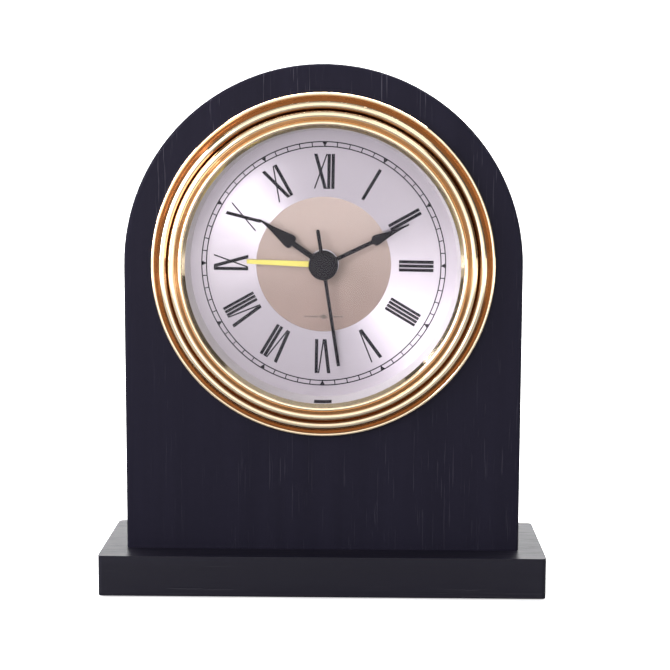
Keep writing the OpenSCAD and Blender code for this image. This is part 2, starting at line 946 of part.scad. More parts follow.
module chip_blob() {
    color([0.05, 0.05, 0.05])
    on_dial() {
        bar(board_back, board_back + 0.6, 3, chip_at);
        bar(board_back + 0.6, board_back + 1, 2.2, chip_at);
    }
}

module quartz_crystal() {
    color([0.8, 0.8, 0.82])
    on_dial()
        translate([crystal_at.x, crystal_at.y - crystal_l / 2, -board_back - crystal_r])
            rotate([-90, 0, 0])
                cylinder(h = crystal_l, r = crystal_r);
}

module buzzer() {
    color([0.1, 0.1, 0.1])
    on_dial()
        difference() {
            bar(cover_front - buzzer_t, cover_front, buzzer_r, buzzer_at);
            bar(cover_front - 1.5, cover_front + 0.1, buzzer_r - 1.2, buzzer_at);
        }
}

module buzzer_leads() {
    buzzer_face = cover_front - buzzer_t;
    color([0.7, 0.1, 0.1])
    on_dial()
        for (i = [0, 1]) {
            a = lead_starts[i];
            b = lead_ends[i];
            bar(lead_run, buzzer_face, lead_r, a);
            bar(lead_run, board_front, lead_r, b);
            wire([a.x, a.y, lead_run], [b.x, b.y, lead_run], lead_r);
            for (end = [a, b])
                translate([end.x, end.y, -lead_run])
                    sphere(r = elbow_r, $fn = 24);
        }
}

contact_post_at = [11.5, 2.6];
contact_post_front = hour_layer + wheel_t + 0.25;
contact_leaf_t = 0.15;

module alarm_contact() {
    color([0.85, 0.7, 0.35])
    on_dial()
        slab(contact_post_front - contact_leaf_t, contact_post_front) {
            box_2d([2.4, contact_post_at.y - 0.7], [contact_post_at.x, contact_post_at.y + 0.7]);
            translate(contact_post_at)
                circle(r = 1.3);
        }
}

module switch_contacts() {
    leaf_w = 1;
    leaf_back = cover_front - switch_foot_t - 2 * switch_gap;
    color([0.85, 0.7, 0.35])
    on_dial()
        for (side = [-1, 1])
            translate([switch_x + side * 1.3 - leaf_w / 2, switch_y, 0]) {
                slab(board_back, board_back + 0.2)
                    square([leaf_w, 4]);
                slab(board_back, leaf_back)
                    square([leaf_w, 0.2]);
                slab(leaf_back - 0.2, leaf_back)
                    square([leaf_w, 3]);
            }
}

// ================= battery =================

// A bar along the cell's axis between two X positions
module along_cell(left, right, r) {
    translate([left, cell_y, -cell_mid])
        rotate([0, 90, 0])
            cylinder(h = right - left, r = r);
}

module battery() {
    color([0.1, 0.1, 0.12])
    on_dial() {
        along_cell(-cell_l / 2, cell_l / 2 - button_l, cell_r);
        along_cell(cell_l / 2 - button_l - 0.1, cell_l / 2, button_r);
    }
}

module contact_plate(side) {
    slab(floor_back + 1, tray_back)
        translate([side * (contact_x + contact_t / 2), (contact_low + contact_high) / 2])
            square([contact_t, contact_high - contact_low], center = true);
}

module positive_contact() {
    color([0.8, 0.8, 0.78])
    on_dial() {
        contact_plate(1);
        along_cell(cell_l / 2, contact_x + 0.1, 2);
    }
}

module negative_contact() {
    color([0.8, 0.8, 0.78])
    on_dial() {
        contact_plate(-1);
        along_cell(-contact_x - 0.1, -cell_l / 2, 3);
    }
}

module battery_door() {
    plug = [window_x - door_gap, window_high - door_gap];
    color([0.86, 0.86, 0.84])
    on_dial() {
        slab(cover_front, cover_front + cover_t / 2 + 0.05)
            box_2d([-plug.x, window_low + door_gap], plug);
        slab(cover_front + cover_t / 2, cover_back)
            box_2d([-plug.x - rebate, window_low + door_gap - rebate],
                   [plug.x + rebate, plug.y + rebate]);
        slab(cover_back - 0.1, cover_back + door_rib_h)
            for (i = [-2 : 2])
                translate([0, cell_y + i * 1.6])
                    square([12, 0.7], center = true);
    }
}

// ================= going train =================

module rotor_magnet() {
    middle = stator_front + stator_t / 2;
    color([0.3, 0.3, 0.32])
    on_dial()
        difference() {
            bar(middle - magnet_t / 2, middle + magnet_t / 2, magnet_r, rotor_at);
            hole(middle - magnet_t / 2, middle + magnet_t / 2, small_arbor_r, rotor_at);
        }
}

module rotor_pinion() {
    color([0.9, 0.9, 0.9])
    on_dial() {
        bar(mid_plate_front + 0.3, back_plate_back - 0.3, small_arbor_r, rotor_at);
        toothed(intermediate_layer - pinion_extra, intermediate_layer + wheel_t + pinion_extra,
                rotor_teeth, intermediate_module, rotor_phase, rotor_at);
    }
}

module intermediate_wheel() {
    color([0.95, 0.93, 0.85])
    on_dial() {
        bar(mid_plate_front + 0.3, back_plate_back - 0.3, small_arbor_r, intermediate_at);
        toothed(intermediate_layer, intermediate_layer + wheel_t,
                intermediate_teeth, intermediate_module, intermediate_phase, intermediate_at);
        toothed(seconds_layer - pinion_extra, intermediate_layer,
                intermediate_pinion_teeth, seconds_module, intermediate_pinion_phase,
                intermediate_at);
    }
}

module seconds_wheel() {
    color([0.95, 0.93, 0.85])
    on_dial() {
        bar(second_hand_front, back_plate_back - 0.3, seconds_arbor_r);
        toothed(seconds_layer, seconds_layer + wheel_t,
                seconds_teeth, seconds_module, seconds_phase);
        toothed(third_layer - 0.2, seconds_layer,
                seconds_pinion_teeth, third_module, seconds_phase);
    }
}

module third_wheel() {
    color([0.95, 0.93, 0.85])
    on_dial() {
        bar(mid_plate_front + 0.3, back_plate_back - 0.3, small_arbor_r, third_at);
        toothed(third_layer, third_layer + wheel_t,
                third_teeth, third_module, third_phase, third_at);
        toothed(centre_layer - pinion_extra, third_layer,
                third_pinion_teeth, centre_module, third_pinion_phase, third_at);
    }
}

module centre_wheel() {
    color([0.9, 0.88, 0.8])
    on_dial()
        difference() {
            toothed(centre_layer, centre_layer + wheel_t,
                    centre_teeth, centre_module, centre_phase);
            hole(centre_layer, centre_layer + wheel_t, minute_pipe_r);
        }
}

module clutch_spring() {
    color([0.75, 0.75, 0.72])
    on_dial()
        slab(centre_layer - 0.2, centre_layer)
            difference() {
                union() {
                    circle(r = clutch_flange_r);
                    for (turn = [0, 120, 240])
                        rotate(turn)
                            box_2d([0, -0.5], [3.4, 0.5]);
                }
                circle(r = minute_pipe_r);
            }
}

module minute_pipe() {
    flange = centre_layer + wheel_t;
    color([0.85, 0.7, 0.4])
    on_dial()
        difference() {
            union() {
                bar(minute_hand_front, flange + clutch_flange_t, minute_pipe_r);
                bar(flange, flange + clutch_flange_t, clutch_flange_r);
                toothed(minute_layer - pinion_extra, minute_layer + wheel_t + pinion_extra,
                        cannon_teeth, minute_module, centre_phase);
            }
            hole(minute_hand_front, flange + clutch_flange_t, seconds_arbor_r + run_gap);
        }
}

// ================= motion work =================

module minute_wheel() {
    color([0.95, 0.93, 0.85])
    on_dial()
        difference() {
            union() {
                toothed(minute_layer, minute_layer + wheel_t,
                        minute_teeth, minute_module, minute_phase, minute_at);
                toothed(hour_layer - pinion_extra, minute_layer,
                        minute_pinion_teeth, hour_module, minute_pinion_phase, minute_at);
            }
            hole(hour_layer - pinion_extra, minute_layer + wheel_t,
                 small_arbor_r + run_gap, minute_at);
        }
}

module hour_wheel() {
    color([0.95, 0.93, 0.85])
    on_dial()
        difference() {
            union() {
                bar(hour_hand_front, hour_layer + wheel_t, hour_tube_r);
                toothed(hour_layer, hour_layer + wheel_t, hour_teeth, hour_module, hour_phase);
            }
            hole(hour_hand_front, hour_layer + wheel_t, minute_pipe_r + run_gap);
        }
}

module alarm_wheel() {
    color([0.93, 0.9, 0.82])
    on_dial()
        difference() {
            union() {
                bar(alarm_hand_front, alarm_layer + wheel_t, alarm_tube_r);
                toothed(alarm_layer, alarm_layer + wheel_t,
                        alarm_teeth, alarm_module, alarm_phase);
            }
            hole(alarm_hand_front, alarm_layer + wheel_t, hour_tube_r + run_gap);
        }
}

// ================= hands =================

// A spade hand along +X: shaft, round-shouldered blade and a fine tip
module spade_hand(hub_r, shaft_w, base, widest, half, length, curve) {
    steps = 8;
    tip_half = 0.18;
    lobe_r = (widest - base) * 0.62;
    circle(r = hub_r);
    box_2d([0, -shaft_w / 2], [widest, shaft_w / 2]);
    for (side = [-1, 1])
        translate([base + lobe_r, side * (half - lobe_r)])
            circle(r = lobe_r, $fn = 48);
    polygon(concat(
        [[base, -shaft_w / 2], [base + lobe_r, -half]],
        [for (i = [0 : steps]) blade_edge(i / steps, widest, half, length, curve, tip_half, -1)],
        [for (i = [steps : -1 : 0]) blade_edge(i / steps, widest, half, length, curve, tip_half, 1)],
        [[base + lobe_r, half], [base, shaft_w / 2]]
    ));
}

function blade_edge(share, widest, half, length, curve, tip_half, side) = [
    widest + (length - widest) * share,
    side * ((half - tip_half) * pow(1 - share, curve) + tip_half)
];

module hour_hand() {
    shaft_w = 1.4;
    spade_start = 9.7;
    spade_widest = 11.2;
    spade_half = 1.85;
    curve = 1.4;
    color([0.05, 0.05, 0.06])
    on_dial()
        at_angle(hour_angle)
            slab(hour_hand_front, hour_hand_front + hand_t)
                difference() {
                    spade_hand(hand_hub_r, shaft_w, spade_start, spade_widest, spade_half, hour_l, curve);
                    circle(r = hour_tube_r);
                }
}

module minute_hand() {
    shaft_w = 1.05;
    spade_start = 14.4;
    spade_widest = 15.7;
    spade_half = 1.4;
    curve = 1.8;
    color([0.05, 0.05, 0.06])
    on_dial()
        at_angle(minute_angle)
            slab(minute_hand_front, minute_hand_front + hand_t)
                difference() {
                    spade_hand(hand_hub_r, shaft_w, spade_start, spade_widest, spade_half, minute_l, curve);
                    circle(r = minute_pipe_r);
                }
}

module second_hand() {
    tail_w = 0.95;
    tip_w = 0.85;
    color([0.05, 0.05, 0.06])
    on_dial()
        at_angle(second_angle)
            slab(second_hand_front, second_hand_front + hand_t)
                difference() {
                    union() {
                        circle(r = cap_d / 2 - 0.6);
                        polygon([
                            [0, -tail_w / 2], [second_l, -tip_w / 2],
                            [second_l, tip_w / 2], [0, tail_w / 2]
                        ]);
                        box_2d([-second_tail + tail_w / 2, -tail_w / 2], [0, tail_w / 2]);
                        translate([-second_tail + tail_w / 2, 0])
                            circle(r = tail_w / 2, $fn = 48);
                    }
                    circle(r = seconds_arbor_r);
                }
}

module second_hand_cap() {
    color([0.05, 0.05, 0.07])
    on_dial() {
        bar(cap_front + 0.2, second_hand_front, cap_d / 2);
        bar(cap_front, cap_front + 0.3, cap_d / 2 - 0.35);
    }
}

module alarm_hand() {
    root_w = 1.6;
    tip_w = 1.1;
    color([0.88, 0.84, 0.2])
    on_dial()
        at_angle(alarm_angle)
            slab(alarm_hand_front, alarm_hand_front + hand_t)
                difference() {
                    union() {
                        circle(r = 3.6);
                        polygon([
                            [0, -root_w / 2], [alarm_l, -tip_w / 2],
                            [alarm_l, tip_w / 2], [0, root_w / 2]
                        ]);
                    }
                    circle(r = alarm_tube_r);
                }
}

// ================= controls =================

module time_set_shaft() {
    color([0.92, 0.92, 0.9])
    on_dial() {
        bar(floor_back + 0.1, knob_front + shaft_into_knob, set_shaft_r, time_set_at);
        toothed(minute_layer, minute_layer + wheel_t,
                time_set_teeth, minute_module, time_set_phase, time_set_at);
    }
}

module alarm_set_shaft() {
    color([0.92, 0.92, 0.9])
    on_dial() {
        bar(floor_back - 0.7, knob_front + shaft_into_knob, set_shaft_r, alarm_set_at);
        toothed(alarm_layer, alarm_layer + wheel_t,
                alarm_set_teeth, alarm_module, alarm_set_phase, alarm_set_at);
    }
}

// A gripped knob on the end of a setting shaft
module knob(at) {
    grip = 0.25;
    difference() {
        translate([at.x, at.y, 0]) {
            slab(knob_front + 0.8, knob_front + knob_h)
                polygon([
                    for (i = [0 : 2 * knob_grips - 1])
                    polar(knob_d / 2 - (i % 2) * grip, i * 180 / knob_grips)
                ]);
            slab(knob_front, knob_front + 0.9)
                circle(r = knob_d / 2 - 1);
        }
        bar(knob_front - 0.1, knob_front + shaft_into_knob, set_shaft_r, at);
    }
}

module time_set_knob() {
    color([0.1, 0.1, 0.1])
    on_dial()
        knob(time_set_at);
}

module alarm_set_knob() {
    color([0.1, 0.1, 0.1])
    on_dial()
        knob(alarm_set_at);
}

module alarm_switch() {
    foot_back = cover_front - switch_gap;
    color([0.1, 0.1, 0.1])
    on_dial()
        translate([switch_x, switch_y, 0]) {
            slab(foot_back - switch_foot_t, foot_back)
                square([switch_foot_w, switch_foot_l], center = true);
            slab(foot_back - 0.1, cover_back + switch_knob_h)
                square([switch_knob_w, switch_knob_l], center = true);
        }
}

// ================= nodes =================

case_body();
base_plinth();
plinth_dowels();
plinth_screws();
felt_pads();
bezel();
lens();
lens_gasket();
spacer_ring();
dial();
insert_cup();
fit_ring();
rear_cover();
rear_cover_screws();
mid_plate();
back_plate();
plate_pillars();
plate_screws();
stator();
coil_core();
coil_bobbin();
coil_winding();
stator_screws();
circuit_board();
board_screws();
chip_blob();
quartz_crystal();
buzzer();
buzzer_leads();
alarm_contact();
switch_contacts();
battery();
positive_contact();
negative_contact();
rotor_magnet();
rotor_pinion();
intermediate_wheel();
seconds_wheel();
second_hand();
second_hand_cap();
third_wheel();
centre_wheel();
clutch_spring();
minute_pipe();
minute_hand();
minute_wheel();
hour_wheel();
hour_hand();
alarm_wheel();
alarm_hand();
time_set_shaft();
time_set_knob();
alarm_set_shaft();
alarm_set_knob();
alarm_switch();
battery_door();
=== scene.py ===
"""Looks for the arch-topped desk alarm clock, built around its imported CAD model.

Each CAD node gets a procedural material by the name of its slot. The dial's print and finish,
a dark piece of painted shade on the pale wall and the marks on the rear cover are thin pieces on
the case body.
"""
import math

import bmesh
import bpy
from mathutils import Matrix, Vector


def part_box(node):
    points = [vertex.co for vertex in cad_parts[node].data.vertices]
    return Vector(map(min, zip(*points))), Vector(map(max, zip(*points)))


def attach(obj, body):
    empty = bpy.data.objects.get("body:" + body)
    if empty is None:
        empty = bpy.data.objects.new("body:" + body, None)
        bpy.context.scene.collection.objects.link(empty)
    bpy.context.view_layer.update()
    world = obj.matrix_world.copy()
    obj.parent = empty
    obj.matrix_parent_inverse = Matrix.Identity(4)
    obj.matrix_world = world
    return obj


MM = 0.001
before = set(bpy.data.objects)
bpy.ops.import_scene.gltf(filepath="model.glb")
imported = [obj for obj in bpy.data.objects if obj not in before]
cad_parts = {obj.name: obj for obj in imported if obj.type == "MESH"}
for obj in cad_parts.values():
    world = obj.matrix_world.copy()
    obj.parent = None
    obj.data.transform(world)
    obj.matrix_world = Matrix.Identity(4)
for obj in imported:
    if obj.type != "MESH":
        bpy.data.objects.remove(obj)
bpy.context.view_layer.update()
scene = bpy.context.scene

# Places read from the frame, in metres.
dial_lo, dial_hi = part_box("dial")
FACE_Y = dial_lo.y
AXIS_Z = (dial_lo.z + dial_hi.z) / 2
FRONT_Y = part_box("case_body")[0].y
REAR_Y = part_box("rear_cover")[1].y
WALL_FRONT_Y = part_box("spacer_ring")[0].y


# --------------------------------------------------------------- node trees
class Tree:
    """Short calls for building a node tree."""

    def __init__(self, tree):
        self.tree = tree

    def add(self, kind, **props):
        node = self.tree.nodes.new(kind)
        for key, value in props.items():
            setattr(node, key, value)
        return node

    def link(self, source, target):
        self.tree.links.new(source, target)

    def feed(self, socket, value):
        """Gives a socket a constant, or the output of another node."""
        if isinstance(value, bpy.types.NodeSocket):
            self.link(value, socket)
        else:
            socket.default_value = value

    def math(self, operation, a, b=0.0):
        node = self.add("ShaderNodeMath", operation=operation)
        self.feed(node.inputs[0], a)
        self.feed(node.inputs[1], b)
        return node.outputs[0]

    def length(self, a, b):
        """The length of a flat vector."""
        squares = self.math("MULTIPLY", a, a), self.math("MULTIPLY", b, b)
        return self.math("SQRT", self.math("ADD", *squares))

    def range(self, value, low, high, to_low=0.0, to_high=1.0):
        """A smooth step from to_low to to_high as the value goes from low to high."""
        node = self.add("ShaderNodeMapRange", interpolation_type="SMOOTHSTEP")
        for index, item in enumerate((value, low, high, to_low, to_high)):
            self.feed(node.inputs[index], item)
        return node.outputs[0]

    def blend(self, factor, a, b, target):
        """Mixes two shaders into a target socket."""
        node = self.add("ShaderNodeMixShader")
        for index, item in enumerate((factor, a, b)):
            self.link(item, node.inputs[index])
        self.link(node.outputs[0], target)


class Mat(Tree):
    """Builds one node material around a Principled shader, in object coordinates."""

    def __init__(self, name, colour, rough=0.5, metal=0.0, **sockets):
        self.mat = bpy.data.materials.new(name)
        self.mat.use_nodes = True
        super().__init__(self.mat.node_tree)
        self.tree.nodes.clear()
        self.surface = self.add("ShaderNodeOutputMaterial").inputs["Surface"]
        self.shader = self.add("ShaderNodeBsdfPrincipled")
        self.link(self.shader.outputs["BSDF"], self.surface)
        self.set("Base Color", (*colour, 1.0))
        self.set("Roughness", rough)
        self.set("Metallic", metal)
        for key, value in sockets.items():
            self.set(key.replace("_", " "), value)
        self.coord = self.add("ShaderNodeTexCoord").outputs["Object"]
        self.normal = None

    def set(self, key, value):
        self.feed(self.shader.inputs[key], value)

    def mapped(self, scale, at=(0, 0, 0)):
        node = self.add("ShaderNodeMapping")
        node.inputs["Scale"].default_value = scale
        node.inputs["Location"].default_value = at
        self.link(self.coord, node.inputs["Vector"])
        return node.outputs["Vector"]

    def noise(self, scale, detail=3.0, rough=0.55, at=(0, 0, 0)):
        """Noise with its own scale on each axis, in cells per metre."""
        if not isinstance(scale, tuple):
            scale = (scale, scale, scale)
        node = self.add("ShaderNodeTexNoise")
        node.inputs["Scale"].default_value = 1.0
        node.inputs["Detail"].default_value = detail
        node.inputs["Roughness"].default_value = rough
        self.link(self.mapped(scale, at), node.inputs["Vector"])
        return node.outputs["Fac"]

    def lathe_lines(self, radius, per_metre, detail=2.0):
        """Noise that changes only with the radius, as turning marks do."""
        node = self.add("ShaderNodeTexNoise", noise_dimensions="1D")
        node.inputs["Scale"].default_value = 1.0
        node.inputs["Detail"].default_value = detail
        self.link(self.math("MULTIPLY", radius, per_metre), node.inputs["W"])
        return node.outputs["Fac"]

    def mix(self, factor, a, b):
        node = self.add("ShaderNodeMix", data_type="RGBA")
        self.feed(node.inputs[0], factor)
        for index, item in ((6, a), (7, b)):
            self.feed(node.inputs[index], (*item, 1.0) if isinstance(item, tuple) else item)
        return node.outputs[2]

    def axis(self, name, centre=(0, 0, 0)):
        node = self.add("ShaderNodeSeparateXYZ")
        self.link(self.mapped((1, 1, 1), tuple(-c for c in centre)), node.inputs[0])
        return node.outputs[name]

    def radius(self, centre=(0, 0, 0)):
        """Distance from a line along Y, in metres."""
        return self.length(self.axis("X", centre), self.axis("Z", centre))

    def bump(self, height, depth_mm):
        """Adds a bump of the given depth; several are chained."""
        node = self.add("ShaderNodeBump")
        node.inputs["Strength"].default_value = 1.0
        node.inputs["Distance"].default_value = depth_mm * MM
        self.link(height, node.inputs["Height"])
        if self.normal is not None:
            self.link(self.normal, node.inputs["Normal"])
        self.normal = node.outputs["Normal"]
        self.set("Normal", self.normal)

    def edges(self):
        """One on rounded edges that face between two axes, zero on flat faces."""
        node = self.add("ShaderNodeSeparateXYZ")
        coord = self.add("ShaderNodeTexCoord")
        self.link(coord.outputs["Normal"], node.inputs[0])
        facing = self.math("ABSOLUTE", node.outputs["Y"])
        both = self.math("MULTIPLY", facing, self.math("SUBTRACT", 1.0, facing))
        return self.range(both, 0.06, 0.24)


# ---------------------------------------------------------------- materials
# Noise values that a Map Range stretches over its whole output.
NOISE_LOW, NOISE_HIGH = 0.3, 0.7


def shade(colour, factor):
    return tuple(min(1.0, c * factor) for c in colour)


def plastic(name, colour, rough=0.45, grain=0.25, depth=0.01, spread=0.12, **sockets):
    """Moulded plastic, rubber or paint: mottled colour, fine texture and handling shine."""
    m = Mat(name, colour, rough, **sockets)
    mottle = m.noise(90.0)
    m.set("Base Color", m.mix(mottle, shade(colour, 1 - spread), shade(colour, 1 + spread)))
    texture = m.noise(1000.0 / grain, 2.0)
    handled = m.noise(220.0, 4.0)
    dullest = min(1.0, rough * 1.15)
    m.set("Roughness", m.range(handled, NOISE_LOW, NOISE_HIGH, rough * 0.85, dullest))
    m.bump(texture, depth)
    return m.mat


def metal(name, colour, rough=0.25, brush=(900.0, 900.0, 900.0), depth=0.002, spread=0.06):
    """Bare or plated metal with drawn marks along the axis with the lowest scale."""
    m = Mat(name, colour, rough, 1.0)
    tone = m.noise(130.0)
    m.set("Base Color", m.mix(tone, shade(colour, 1 - spread), shade(colour, 1 + spread)))
    marks = m.noise(brush)
    m.set("Roughness", m.range(marks, NOISE_LOW, NOISE_HIGH, rough * 0.75, rough * 1.3))
    m.bump(marks, depth)
    return m.mat


# Wood figure in cells per metre: across the grain, then along it.
PORE_CELLS, FIBRE_CELLS, BAND_CELLS = (2300.0, 75.0), (5200.0, 160.0), (160.0, 7.0)
PATCH_PLACE = (3.1, 1.7, 5.3)
# Painted light: the pores are painted to show more toward the top of the arch; heights in metres,
# then how strongly.
PORES_FAINT_Z, PORES_CLEAR_Z, PORES_FAINT, PORES_CLEAR = 0.05, 0.13, 0.17, 0.55


def stained_wood(name, along, colour, pore_light, shine):
    """Satin black stain on open-pored veneer; along is the grain's axis."""
    def figure(cells, *detail, **place):
        scale = [cells[0]] * 3
        scale["XYZ".index(along)] = cells[1]
        return m.noise(tuple(scale), *detail, **place)

    m = Mat(name, colour, 0.42, IOR=1.45, Specular_IOR_Level=shine)
    band = figure(BAND_CELLS, 4.0, 0.6)
    pores = m.range(figure(PORE_CELLS, 2.0, 0.5), 0.60, 0.70)
    patches = m.range(figure(BAND_CELLS, 2.0, at=PATCH_PLACE), 0.42, 0.62)
    pores = m.math("MULTIPLY", pores, patches)
    fibre = figure(FIBRE_CELLS, 3.0, 0.6)
    base = m.mix(band, shade(colour, 0.78), shade(colour, 1.25))
    # Painted light: the pale pores are mixed in more strongly toward the top of the arch.
    pore_top_light = m.range(m.axis("Z"), PORES_FAINT_Z, PORES_CLEAR_Z, PORES_FAINT, PORES_CLEAR)
    base = m.mix(m.math("MULTIPLY", pores, pore_top_light), base, pore_light)
    worn = m.math("MULTIPLY", m.edges(), m.range(m.noise(260.0, 4.0), 0.45, 0.65))
    m.set("Base Color", m.mix(m.math("MULTIPLY", worn, 0.5), base, shade(colour, 2.6)))
    tooth = m.math("ADD", fibre, m.math("MULTIPLY", pores, 0.4))
    m.set("Roughness", m.range(tooth, 0.3, 0.9, 0.34, 0.52))
    m.bump(fibre, 0.012)
    m.bump(m.math("SUBTRACT", 1.0, pores), 0.05)
    return m.mat


def raw_wood(name, colour):
    m = Mat(name, colour, 0.65)
    rings = m.noise((1400.0, 1400.0, 90.0), 4.0, 0.6)
    m.set("Base Color", m.mix(rings, shade(colour, 0.7), shade(colour, 1.2)))
    m.set("Roughness", m.range(rings, NOISE_LOW, NOISE_HIGH, 0.55, 0.75))
    m.bump(rings, 0.03)
    return m.mat


# Distances from the bezel's axis, in mm, of the hollows between the beads, where painted shade
# turns the gold brown.
GROOVE_SHADE_BANDS = ((37.75, 38.8), (39.9, 41.35), (42.6, 44.2))
GROOVE_SHADE_FADE = 0.2
GROOVE_SHADE_STRENGTH = 0.9


def gold_plate(name):
    """Polished gold plate with painted shade, dark brown, in the hollows between the beads."""
    m = Mat(name, (0.93, 0.70, 0.36), 0.08, 1.0)
    radius = m.radius((0, 0, AXIS_Z))
    tone = m.noise(110.0, 4.0)
    gold = m.mix(tone, (0.93, 0.74, 0.48), (0.975, 0.82, 0.58))
    # Dark brown painted shade for the hollows between the beads.
    groove_shade_colour = m.mix(tone, (0.46, 0.295, 0.175), (0.57, 0.385, 0.25))
    groove_shade = 0.0
    for low, high in GROOVE_SHADE_BANDS:
        rise = m.range(radius, (low - GROOVE_SHADE_FADE) * MM, (low + GROOVE_SHADE_FADE) * MM)
        fall = m.range(radius, (high - GROOVE_SHADE_FADE) * MM, (high + GROOVE_SHADE_FADE) * MM, 1.0, 0.0)
        groove_shade = m.math("MAXIMUM", m.math("MULTIPLY", rise, fall), groove_shade)
    # Painted shade: the hollows between the beads are mixed toward the dark brown.
    m.set("Base Color", m.mix(m.math("MULTIPLY", groove_shade, GROOVE_SHADE_STRENGTH), gold, groove_shade_colour))
    m.set("Roughness", m.range(m.noise(700.0, 4.0), 0.5, 0.75, 0.05, 0.16))
    m.bump(m.lathe_lines(radius, 5200.0), 0.0015)
    m.bump(m.noise(420.0, 2.0), 0.004)
    return m.mat


def clear_lens(name):
    """Clear pane that lets lamp light straight through, with the faintest handling haze."""
    m = Mat(name, (0.985, 0.99, 0.99), 0.0, IOR=1.18, Transmission_Weight=1.0)
    m.set("Roughness", m.range(m.noise(160.0, 4.0), 0.62, 0.8, 0.0, 0.03))
    m.bump(m.noise(60.0, 1.0), 0.0005)
    through = m.add("ShaderNodeBsdfTransparent")
    through.inputs["Color"].default_value = (0.96, 0.97, 0.97, 1.0)
    lamp_light = m.add("ShaderNodeLightPath").outputs["Is Shadow Ray"]
    m.blend(lamp_light, m.shader.outputs["BSDF"], through.outputs["BSDF"], m.surface)
    return m.mat


def spun_dial(name):
    """Circularly brushed silver with a lilac cast. The piece's origin is the dial's centre."""
    m = Mat(name, (0.80, 0.76, 0.84), 0.5, 1.0, Anisotropic=0.97, Anisotropic_Rotation=0.25)
    tangent = m.add("ShaderNodeTangent", direction_type="RADIAL", axis="Y")
    m.link(tangent.outputs[0], m.shader.inputs["Tangent"])
    rings = m.lathe_lines(m.radius(), 9000.0, 4.0)
    tone = m.range(rings, 0.25, 0.75)
    m.set("Base Color", m.mix(tone, (0.50, 0.447, 0.497), (0.645, 0.58, 0.627)))
    m.set("Roughness", m.range(rings, NOISE_LOW, NOISE_HIGH, 0.34, 0.42))
    m.bump(rings, 0.001)
    return m.mat


# Half the height, in metres, over which painted shade darkens the champagne disc toward its foot.
DISC_SHADE_FADE = 0.016


def champagne(name):
    """Fine-grained champagne finish, with painted shade that darkens it toward the foot."""
    m = Mat(name, (0.74, 0.62, 0.49), 0.5, 0.75)
    grain = m.noise(3800.0, 2.0, 0.7)
    base = m.mix(grain, (0.33, 0.265, 0.235), (0.46, 0.375, 0.335))
    base = m.mix(m.math("MULTIPLY", m.noise(140.0), 0.25), base, (0.50, 0.35, 0.30))
    # Painted shade: the lower half of the disc is mixed toward a dark brown.
    foot = m.mix(0.55, base, (0.17, 0.10, 0.08))
    m.set("Base Color", m.mix(m.range(m.axis("Z"), -DISC_SHADE_FADE, DISC_SHADE_FADE), foot, base))
    m.set("Roughness", m.range(grain, NOISE_LOW, NOISE_HIGH, 0.45, 0.62))
    m.bump(grain, 0.01)
    return m.mat


def felt(name, colour):
    m = Mat(name, colour, 0.95, Sheen_Weight=0.6)
    fibres = m.noise(2600.0, 5.0, 0.75)
    m.set("Base Color", m.mix(fibres, shade(colour, 0.5), shade(colour, 1.9)))
    m.set("Roughness", m.range(fibres, NOISE_LOW, NOISE_HIGH, 0.85, 1.0))
    m.bump(fibres, 0.12)
    return m.mat


# Where the cell's black sleeve turns to copper, and where bare steel starts, in metres of X.
COPPER_FROM, STEEL_FROM, PRINT_BLUR = 0.0105, 0.0241, 0.0002


def cell_sleeve(name):
    """Two-tone printed sleeve: copper over the last third, black over the rest."""
    m = Mat(name, (0.02, 0.02, 0.022), 0.25, 0.4, Coat_Weight=0.6, Coat_Roughness=0.1)
    copper = m.range(m.axis("X"), COPPER_FROM, COPPER_FROM + PRINT_BLUR)
    steel = m.range(m.axis("X"), STEEL_FROM, STEEL_FROM + PRINT_BLUR)
    base = m.mix(copper, (0.018, 0.018, 0.02), (0.62, 0.33, 0.13))
    base = m.mix(steel, base, (0.75, 0.74, 0.72))
    scuff = m.noise(320.0, 5.0)
    m.set("Base Color", m.mix(m.range(scuff, 0.6, 0.8, 0.0, 0.2), base, (0.4, 0.4, 0.4)))
    m.set("Roughness", m.range(scuff, NOISE_LOW, NOISE_HIGH, 0.18, 0.34))
    m.bump(scuff, 0.004)
    return m.mat


def circuit(name):
    """Green solder mask with raised tracks."""
    m = Mat(name, (0.03, 0.16, 0.07), 0.35)
    brick = m.add("ShaderNodeTexBrick")
    brick.inputs["Scale"].default_value = 1.0
    brick.inputs["Mortar Size"].default_value = 0.12
    m.link(m.mapped((420.0, 420.0, 420.0)), brick.inputs["Vector"])
    tracks = brick.outputs["Fac"]
    mottle = m.noise(300.0, 4.0)
    base = m.mix(mottle, (0.02, 0.12, 0.05), (0.04, 0.19, 0.09))
    m.set("Base Color", m.mix(tracks, base, (0.06, 0.28, 0.12)))
    m.set("Roughness", m.range(mottle, NOISE_LOW, NOISE_HIGH, 0.28, 0.42))
    m.bump(tracks, 0.03)
    return m.mat


def wound_wire(name):
    """Enamelled copper turns that lie side by side along X."""
    m = Mat(name, (0.62, 0.25, 0.10), 0.28, 1.0)
    wave = m.add("ShaderNodeTexWave", wave_type="BANDS", bands_direction="X")
    wave.inputs["Scale"].default_value = 1.0
    wave.inputs["Distortion"].default_value = 0.6
    m.link(m.mapped((900.0, 900.0, 900.0)), wave.inputs["Vector"])
    turns = wave.outputs["Fac"]
    m.set("Base Color", m.mix(turns, (0.42, 0.14, 0.05), (0.78, 0.36, 0.16)))
    m.set("Roughness", m.range(turns, 0.2, 0.8, 0.22, 0.36))
    m.bump(turns, 0.05)
    return m.mat


